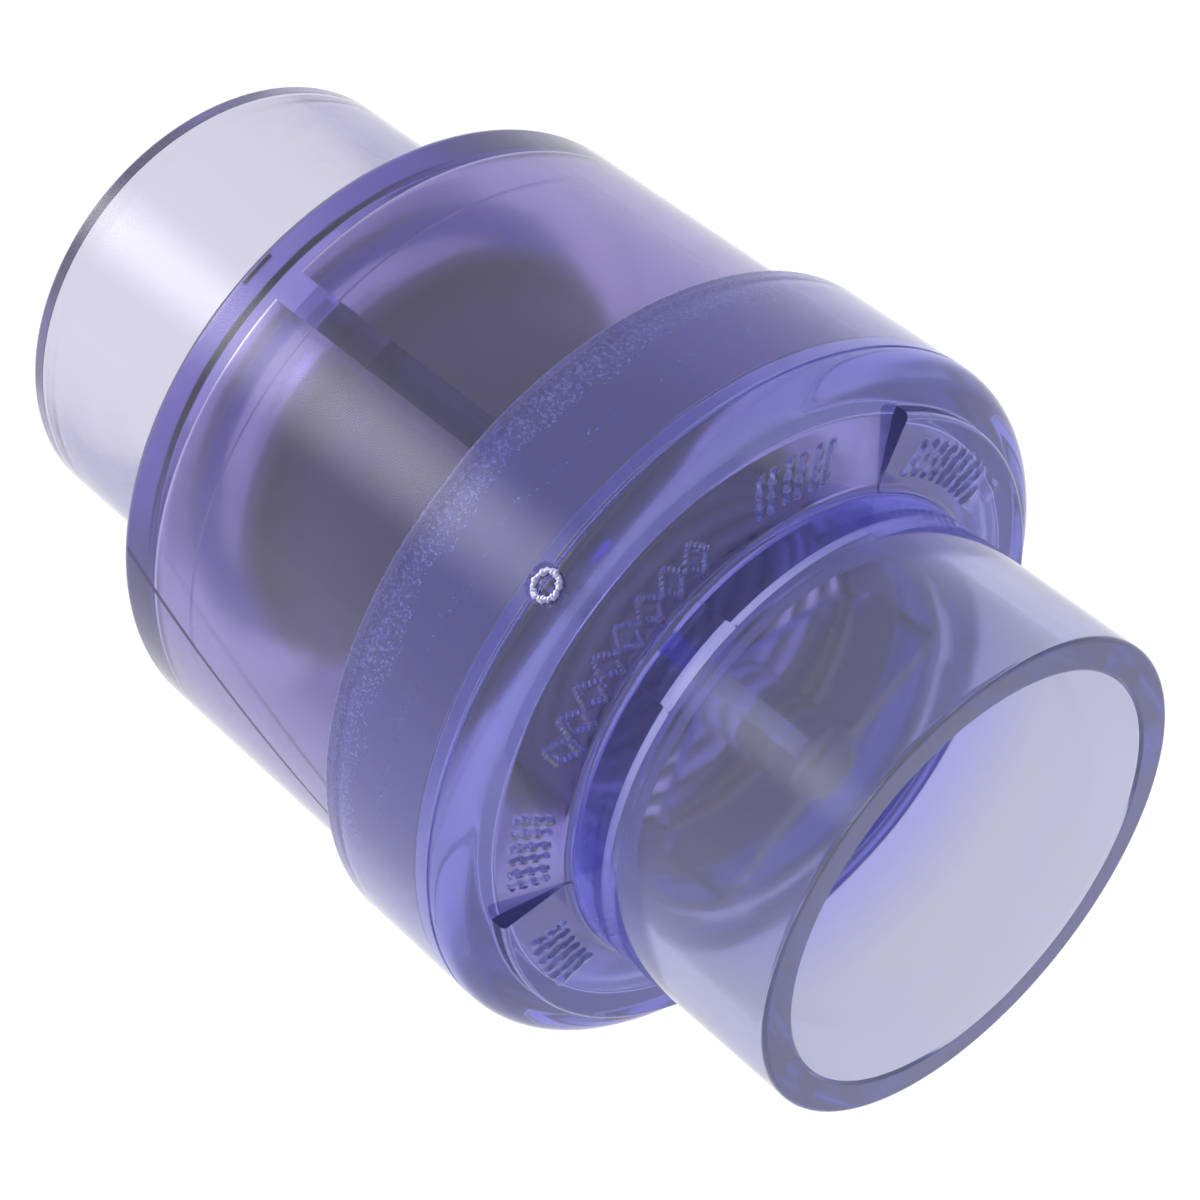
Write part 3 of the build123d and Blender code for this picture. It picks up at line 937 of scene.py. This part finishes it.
        dip = (np.clip((self.gate_r - away) / self.gate_edge + 0.5, 0, 1)
               * np.clip((away - self.gate_stub_r) / self.gate_edge + 0.5, 0, 1))
        r[outer] -= self.gate_depth * dip * (r[outer] > self.joint_r + 1)
        row = np.arange(len(base))
        ledge = ((base[:, 0] > ledge_back - 0.01) & (base[:, 0] < ledge_front + 0.01)
                 & (base[:, 1] < self.bore_r + 0.75))
        core = np.where((base[:, 1] < self.bore_r + 0.3) | (row >= low), 0.15, 0.0)
        core[ledge | (row >= low + len(plain))] = 1.0
        piece = grid_mesh("outlet_cap_clear", turn_points(x, r, turn), True, True, core=core)
        return settle(piece, VALVE, "outlet_cap", self.finish)

    def gate_scar(self, finish: bpy.types.Material) -> bpy.types.Object:
        """Makes the frosted ring that lies in the gate's dip on the collar's parting line.

        Formula: a small flat section carried round a circle on the collar, its reach varied by two waves.

        Args:
            finish: the scar's material.

        Returns:
            The piece.
        """
        a = steps(0.0, 2 * math.pi, 72)[:, None]
        b = steps(0.0, 2 * math.pi, 8)[None, :]
        reach = 1.75 + 0.05 * np.sin(3 * a + 1.0) + 0.05 * np.sin(11 * a)
        thick = 0.44 + 0.09 * np.sin(7 * a) + 0.08 * np.sin(17 * a + 2.0)
        ring = reach + thick * np.cos(b)
        r = self.collar_r - 0.16 + (0.14 + 0.03 * np.sin(23 * a)) * np.sin(b)
        turn = math.radians(self.gate_turn) + ring * np.sin(a) / r
        points = turn_points(self.parting_x() + ring * np.cos(a), r, turn)
        return settle(grid_mesh("gate_scar", points[:, ::-1], True, True), VALVE, "", finish)


# ---------------------------------------------------------------- the joint


@dataclass
class Joint:
    """What the solvent cement leaves: a squeezed-out bead behind the collar, and a film in the joint."""

    bead_finish: bpy.types.Material
    film_finish: bpy.types.Material
    barrel_r: float = 48.2
    bead_rise: float = 1.15
    bead_run: float = 1.35
    sunk: float = 0.03
    waves: tuple[tuple[int, float, float], ...] = (
        (3, 0.16, 0.4), (7, 0.12, 2.1), (17, 0.10, 4.0), (41, 0.08, 1.3), (73, 0.06, 5.2))

    def bead(self) -> bpy.types.Object:
        """Makes the bead.

        Formula: a quarter-round section in the corner between barrel and collar, whose rise and run swell
        and shrink round the joint as a sum of five waves of different lengths.
        """
        _, rear = span("joint_bead")
        angle = steps(0.0, 2 * math.pi, 480)
        swell = sum(height * np.sin(count * angle + shift) for count, height, shift in self.waves)
        size = np.clip(0.62 + swell, 0.25, 1.0)
        t = steps(0.0, 1.0, 7)
        round_x = np.concatenate([-np.sin(t * math.pi / 2), steps(-1.0, 0.0, 5), np.zeros(4)])
        round_r = np.concatenate([np.cos(t * math.pi / 2), np.zeros(5), steps(0.0, 1.0, 4)])
        x = rear - self.sunk + round_x[:, None] * (self.bead_run - self.sunk) * size[None, :]
        r = self.barrel_r + self.sunk + round_r[:, None] * (self.bead_rise - self.sunk) * size[None, :]
        points = turn_points(x, r, angle[None, :])[::-1]
        return settle(grid_mesh("cement_bead", points, True, True), VALVE, "joint_bead",
                      self.bead_finish)

    def film(self) -> bpy.types.Object:
        """Makes the film: a thin tube in the joint's clearance."""
        rear, _ = span("outlet_cap")
        _, spigot = span("inlet_body")
        inner, outer = self.barrel_r + 0.018, self.barrel_r + 0.032
        piece = turned("cement_film", [
            Corner(rear + 0.1, inner), Corner(rear + 0.1, outer), Corner(spigot - 0.3, outer),
            Corner(spigot - 0.3, inner)], columns=360, step=3.0)
        return settle(piece, VALVE, "", self.film_finish)


# ---------------------------------------------------------------- the poppet


@dataclass
class Poppet:
    """Everything that slides: cup, seal, retainer, washer, screw and the spring's seat ring."""

    plastic: bpy.types.Material
    rubber: bpy.types.Material
    steel: bpy.types.Material
    head_r: float = 33.0
    skirt_r: float = 29.8
    inner_r: float = 27.3
    boss_r: float = 7.0
    hole_r: float = 2.55
    seal_r: float = 31.0
    lip_r: float = 29.4
    retainer_r: float = 24.5
    washer_r: float = 6.5
    seat_inner_r: float = 21.3
    seat_outer_r: float = 26.3

    def cup(self) -> bpy.types.Object:
        """Makes the cup: head disc, long skirt open to the outlet, and the boss for the screw."""
        front, rim = span("poppet_cup")
        head, back = front + 2.0, front + 5.0
        piece = turned("poppet_cup_moulded", [
            Corner(back + 5.75, 0.0), Corner(back + 5.75, self.hole_r), Corner(front, self.hole_r),
            Corner(front, 8.9, 0.2), Corner(head, 8.9), Corner(head, self.head_r, 0.6),
            Corner(back, self.head_r, 0.6), Corner(back, self.skirt_r, 0.5), Corner(rim, self.skirt_r, 0.6),
            Corner(rim, self.inner_r, 0.6), Corner(back, self.inner_r, 1.0), Corner(back, self.boss_r, 0.8),
            Corner(back + 8.0, self.boss_r, 0.5), Corner(back + 8.0, 5.0), Corner(back + 7.4, 0.0)],
            closed=False)
        return settle(piece, POPPET, "poppet_cup", self.plastic)

    def seal(self) -> bpy.types.Object:
        """Makes the rubber ring, with a shallow moulded lip line near its edge."""
        low, high = span("poppet_seal")
        piece = turned("seal_ring", [
            Corner(low, 9.0), Corner(low, self.lip_r, 0.1), Corner(low + 0.15, 29.6, 0.1),
            Corner(low + 0.15, self.seal_r, 0.4), Corner(high, self.seal_r, 0.4), Corner(high, 9.0)])
        return settle(piece, POPPET, "poppet_seal", self.rubber)

    def retainer(self) -> bpy.types.Object:
        """Makes the disc that clamps the seal, with a shallow recess on its face."""
        low, high = span("seal_retainer")
        piece = turned("seal_retainer_disc", [
            Corner(low, self.hole_r), Corner(low, 7.4, 0.1), Corner(low + 0.02, 8.2, 0.2),
            Corner(low + 0.5, 9.2, 0.3), Corner(low + 0.5, 19.0, 0.3), Corner(low, 20.2, 0.3),
            Corner(low, self.retainer_r, 0.83), Corner(high, self.retainer_r, 0.1), Corner(high, self.hole_r)])
        return settle(piece, POPPET, "seal_retainer", self.plastic)

    def washer(self) -> bpy.types.Object:
        """Makes the flat washer, with its stamped edges rounded."""
        low, high = span("screw_washer")
        piece = turned("flat_washer", [
            Corner(low, self.hole_r, 0.1), Corner(low, self.washer_r, 0.25), Corner(high, self.washer_r, 0.1),
            Corner(high, self.hole_r, 0.1)], columns=120, step=0.8)
        return settle(piece, POPPET, "screw_washer", self.steel)

    def screw(self) -> bpy.types.Object:
        """Makes the hexagon-socket screw.

        Formula: a turned outline whose innermost stretch, the key socket, has its radius divided by the
        cosine of the angle to the nearest of six flats, which makes those rings hexagons.
        """
        low, high = span("retainer_screw")
        key, head_r, shank_r, under = 2.0, 5.0, 2.5, low + 3.2
        outline = trace([
            Corner(low + 2.6, 0.0), Corner(low + 2.0, key), Corner(low + 0.2, key), Corner(low, key + 0.3),
            Corner(low, head_r, 0.9), Corner(under, head_r, 0.2), Corner(under, shank_r),
            Corner(high, shank_r, 0.6), Corner(high, 0.0)], step=0.7)
        angle = steps(0.0, 2 * math.pi, 120)
        flat = (angle + math.pi / 6) % (math.pi / 3) - math.pi / 6
        in_key = (outline[:, 0] < low + 2.7) & (outline[:, 1] <= key + 0.05)
        r = outline[:, 1:] * np.where(in_key[:, None], 1 / np.cos(flat)[None, :], 1.0)
        piece = grid_mesh("retainer_screw_steel", turn_points(outline[:, :1], r, angle[None, :]), False, True)
        return settle(piece, POPPET, "retainer_screw", self.steel)

    def seat_ring(self) -> bpy.types.Object:
        """Makes the steel ring that the spring stands on."""
        low, high = span("spring_seat")
        piece = turned("spring_seat_ring", [
            Corner(low, self.seat_inner_r, 0.1), Corner(low, self.seat_outer_r, 0.1),
            Corner(high, self.seat_outer_r, 0.2), Corner(high, self.seat_inner_r, 0.2)], columns=180)
        return settle(piece, POPPET, "spring_seat", self.steel)


@dataclass
class Spring:
    """Compression spring with closed ends, between the poppet's floor and the spider's webs."""

    finish: bpy.types.Material
    wire: float = 1.6
    radius: float = 23.8
    pitch: float = 3.7
    closed_turns: float = 1.0
    start_deg: float = 70.0
    end_gap: float = 0.05
    points_per_turn: int = 56

    def build(self) -> bpy.types.Object:
        """Makes the spring.

        Formula: the wire's middle goes round the flow axis at a fixed radius; its advance per turn is the
        pitch, easing down to just over the wire's thickness over the first and last turn. The wire is a
        circle swept along that line, across its direction of travel.

        Returns:
            The piece.
        """
        low, high = span("spring")
        low, high = low + self.wire / 2 + self.end_gap, high - self.wire / 2 - self.end_gap
        closed = self.wire * 1.06
        turns = 2 * self.closed_turns + (high - low - 2 * self.closed_turns * closed) / self.pitch
        count = int(turns * self.points_per_turn)
        s = np.linspace(0.0, turns, count)
        ease = np.clip(np.minimum(s, turns - s) - self.closed_turns + 0.25, 0.0, 0.5) / 0.5
        advance = closed + (self.pitch - closed) * ease * ease * (3 - 2 * ease)
        x = np.concatenate([[0.0], np.cumsum((advance[1:] + advance[:-1]) / 2)])
        x = low + x / x[-1] * (high - low)
        a = 2 * math.pi * s + math.radians(self.start_deg)
        line = np.stack([x, self.radius * np.cos(a), self.radius * np.sin(a)], -1)
        ahead = np.gradient(line, axis=0)
        ahead /= np.linalg.norm(ahead, axis=1, keepdims=True)
        out = np.stack([np.zeros_like(a), np.cos(a), np.sin(a)], -1)
        side = np.cross(ahead, out)
        b = steps(0.0, 2 * math.pi, 14)[None, :, None]
        tube = line[:, None] + self.wire / 2 * (np.cos(b) * out[:, None] + np.sin(b) * side[:, None])
        piece = grid_mesh("spring_wire", tube, False, True, caps=True)
        settle(piece, VALVE, "spring", self.finish)
        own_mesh(piece)
        return piece


# ---------------------------------------------------------------- light, floor and camera


@dataclass
class Studio:
    """White light table in a white room, with one soft oval lamp high on the inlet side."""

    side_m: float = 3.0
    table: float = 1.04
    sky: float = 0.75
    lamp_glow: float = 4.2
    lamp_from: tuple[float, float, float] = (-0.80, -0.40, 0.45)
    lamp_long: float = 0.62
    lamp_wide: float = 0.30
    bounces: int = 28

    def floor(self, height: float) -> bpy.types.Object:
        """Makes the table: a sheet lit from below that glows evenly and takes no shade."""
        side = self.side_m
        points = np.array([[-side, -side, height], [side, -side, height], [side, side, height],
                           [-side, side, height]]) / MM
        piece = mesh_piece("light_table", points, np.array([[0, 1, 2], [0, 2, 3]]), 30.0)
        material, tree, place = blank("opal_acrylic_sheet")
        finish_with(tree, {
            "Base Color": blend(tree, noise(tree, place, 250), "#0A0A0A", "#0D0D0D"), "Roughness": 0.9,
            "Emission Color": (1.0, 1.0, 1.0, 1.0), "Emission Strength": self.table})
        piece.data.materials.append(material)
        piece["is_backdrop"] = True
        log.info("light_table: stage")
        return piece

    def world(self) -> None:
        """Makes the surroundings: white at and below the horizon, softer overhead, and the oval lamp.

        Formula: the lamp's glow falls off smoothly with the length of a direction's two shares, each its
        part along one axis of the oval divided by the oval's reach there, on the lamp's own side only.
        """
        world = bpy.data.worlds.new("white_room")
        world.use_nodes = True
        tree = world.node_tree
        tree.nodes.clear()
        place = add(tree, "ShaderNodeTexCoord").outputs["Generated"]
        height = add(tree, "ShaderNodeSeparateXYZ", {"Vector": place}).outputs["Z"]
        ramp = add(tree, "ShaderNodeValToRGB", {"Fac": height})
        stops = ramp.color_ramp.elements
        stops[0].position, stops[0].color = 0.0, (1.0, 1.0, 1.0, 1.0)
        stops[1].position, stops[1].color = 0.55, (self.sky, self.sky, self.sky, 1.0)
        back = add(tree, "ShaderNodeBackground", {"Color": ramp.outputs["Color"], "Strength": self.table})
        away = Vector(self.lamp_from).normalized()
        along = (Vector((1.0, 0.0, 0.0)) - away * away.x).normalized()
        shares = []
        for axis, reach in ((along, self.lamp_long), (away.cross(along), self.lamp_wide)):
            off = add(tree, "ShaderNodeVectorMath", {0: place, 1: axis / reach}, operation="DOT_PRODUCT")
            shares.append(off.outputs["Value"])
        spot = add(tree, "ShaderNodeCombineXYZ", {"X": shares[0], "Y": shares[1]})
        length = add(tree, "ShaderNodeVectorMath", {0: spot.outputs["Vector"]}, operation="LENGTH")
        front = add(tree, "ShaderNodeVectorMath", {0: place, 1: away}, operation="DOT_PRODUCT")
        facing = math_node(tree, "GREATER_THAN", front.outputs["Value"], 0.0)
        glow = add(tree, "ShaderNodeMapRange", {"Value": length.outputs["Value"], "To Min": self.lamp_glow,
                                                "To Max": 0.0}, interpolation_type="SMOOTHSTEP")
        power = math_node(tree, "MULTIPLY", glow.outputs["Result"], facing)
        lamp = add(tree, "ShaderNodeBackground", {"Color": (1.0, 1.0, 1.0, 1.0), "Strength": power})
        both = add(tree, "ShaderNodeAddShader", {0: back.outputs["Background"], 1: lamp.outputs["Background"]})
        add(tree, "ShaderNodeOutputWorld", {"Surface": both.outputs["Shader"]})
        bpy.context.scene.world = world

    def settings(self) -> None:
        """Lets light go through all the nested clear walls, and shows colours as they are."""
        scene = bpy.context.scene
        choices = {
            "max_bounces": self.bounces, "transmission_bounces": self.bounces, "glossy_bounces": 12,
            "diffuse_bounces": 4, "transparent_max_bounces": 24, "caustics_refractive": True,
            "caustics_reflective": True, "blur_glossy": 0.3, "sample_clamp_indirect": 4.0}
        for key, value in choices.items():
            setattr(scene.cycles, key, value)
        scene.view_settings.view_transform = "Standard"


@dataclass
class Viewpoint:
    """The camera: a long lens above the outlet end, looking down on the valve."""

    azimuth: float = 48.98
    elevation: float = 43.25
    distance: float = 428.03
    aside: float = 4.55
    below: float = 5.03
    lens: float = 94.57
    sensor: float = 36.0

    def build(self) -> bpy.types.Object:
        """Places the camera at its distance from a point a little off the valve's middle, with no roll."""
        a, e = math.radians(self.azimuth), math.radians(self.elevation)
        back = Vector((math.sin(a) * math.cos(e), -math.cos(a) * math.cos(e), math.sin(e)))
        right = Vector((math.cos(a), math.sin(a), 0.0))
        down = right.cross(back)
        low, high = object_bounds()
        middle = (low + high) / 2
        data = bpy.data.cameras.new("camera")
        data.lens, data.sensor_width = self.lens, self.sensor
        data.clip_start, data.clip_end = 0.01, 20.0
        camera = bpy.data.objects.new("camera", data)
        bpy.context.scene.collection.objects.link(camera)
        spot = middle + (right * self.aside + down * self.below) * MM + back * self.distance * MM
        camera.matrix_world = Matrix.Translation(spot) @ Matrix((right, -down, back)).transposed().to_4x4()
        bpy.context.scene.camera = camera
        return camera


def main() -> None:
    """Builds the valve from the inside out, then its surroundings."""
    logging.basicConfig(level=logging.INFO, format="%(message)s")
    cad_low, cad_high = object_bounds()
    inlet_pvc = ClearPvc("clear_pvc_violet").build()
    # The outlet's base colours also hold painted shade for the table's shadow seen through its walls.
    outlet_pvc = ClearPvc("clear_pvc_blue_violet", tint="#4862E8", density=50.0, roughness=0.06,
                          core_roughness=0.17, haze_and_shade="#C9C6F3", pale="#DFDFE4", pale_mm=60.0, deep_mm=49.0,
                          clearness=0.93).build()
    wire = Stainless("stainless_drawn_wire").build()
    faced = Stainless("stainless_turned", make=SteelMake.FACED).build()
    poppet = Poppet(MouldedGrey().build(), SealRubber().build(), faced)
    for make in (poppet.cup, poppet.seal, poppet.retainer, poppet.washer, poppet.screw, poppet.seat_ring):
        make()
    Spring(wire).build()
    dress("spring_spider", outlet_pvc)
    inlet = InletBody(inlet_pvc)
    inlet.build()
    inlet.weld_line(WeldCrease().build())
    cap = OutletCap(outlet_pvc)
    cap.build()
    cap.gate_scar(CuredCement("frosted_gate_scar", "#A6A2D8", bubble_mm=0.4, clearness=0.5).build())
    joint = Joint(CuredCement().build(), CementFilm("cement_specks", rear_mm=span("outlet_cap")[0]).build())
    joint.bead()
    joint.film()
    studio = Studio()
    studio.floor(cad_low.z - FLOOR_GAP_M)
    studio.world()
    studio.settings()
    Viewpoint().build()


if __name__ == "__main__":
    main()
